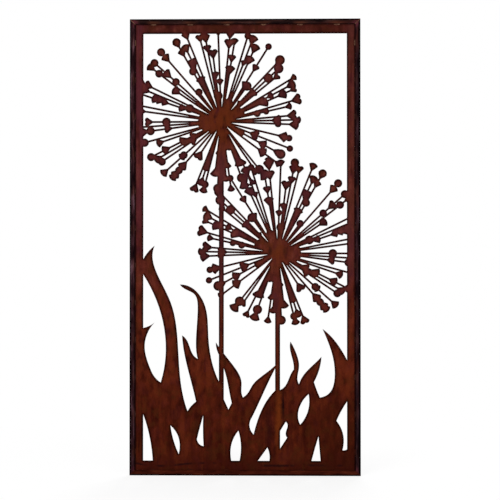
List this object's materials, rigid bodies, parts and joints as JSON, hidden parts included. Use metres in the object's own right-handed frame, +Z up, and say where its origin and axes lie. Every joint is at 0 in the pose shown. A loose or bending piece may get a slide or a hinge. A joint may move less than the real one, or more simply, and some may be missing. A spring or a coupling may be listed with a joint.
{
  "type": "decorative screen",
  "caption": "Upright panel of rusted sheet steel, cut with globe flowers on stems over grass, tack welded in a mitred square-tube frame; divides or decorates a garden.",
  "frame": {"origin": "on the floor, under the middle of the frame's width and depth", "axes": "+Z up along the stiles, +X to the right as seen from the front, +Y towards the back"},
  "size_m": [0.91, 0.02, 1.8],
  "materials": {
    "frame_tube": "dark brown weathered mill scale with a dull sheen",
    "rusted_sheet": "matt rust, mottled brown and maroon with run-off streaks",
    "weld_bead": "weathered weld metal, paler than the tube"
  },
  "bodies": {
    "root": {"bottom_rail": "frame_tube", "cut_sheet": "rusted_sheet", "left_stile": "frame_tube", "mitre_weld_bottom_left": "weld_bead", "mitre_weld_bottom_right": "weld_bead", "mitre_weld_top_left": "weld_bead", "mitre_weld_top_right": "weld_bead", "right_stile": "frame_tube", "tack_weld_bottom_1": "weld_bead", "tack_weld_bottom_2": "weld_bead", "tack_weld_bottom_3": "weld_bead", "tack_weld_bottom_4": "weld_bead", "tack_weld_bottom_5": "weld_bead", "tack_weld_bottom_6": "weld_bead", "tack_weld_left_1": "weld_bead", "tack_weld_left_10": "weld_bead", "tack_weld_left_11": "weld_bead", "tack_weld_left_12": "weld_bead", "tack_weld_left_2": "weld_bead", "tack_weld_left_3": "weld_bead", "tack_weld_left_4": "weld_bead", "tack_weld_left_5": "weld_bead", "tack_weld_left_6": "weld_bead", "tack_weld_left_7": "weld_bead", "tack_weld_left_8": "weld_bead", "tack_weld_left_9": "weld_bead", "tack_weld_right_1": "weld_bead", "tack_weld_right_10": "weld_bead", "tack_weld_right_11": "weld_bead", "tack_weld_right_12": "weld_bead", "tack_weld_right_2": "weld_bead", "tack_weld_right_3": "weld_bead", "tack_weld_right_4": "weld_bead", "tack_weld_right_5": "weld_bead", "tack_weld_right_6": "weld_bead", "tack_weld_right_7": "weld_bead", "tack_weld_right_8": "weld_bead", "tack_weld_right_9": "weld_bead", "tack_weld_top_1": "weld_bead", "tack_weld_top_2": "weld_bead", "tack_weld_top_3": "weld_bead", "tack_weld_top_4": "weld_bead", "tack_weld_top_5": "weld_bead", "tack_weld_top_6": "weld_bead", "top_rail": "frame_tube"}
  },
  "joints": []
}
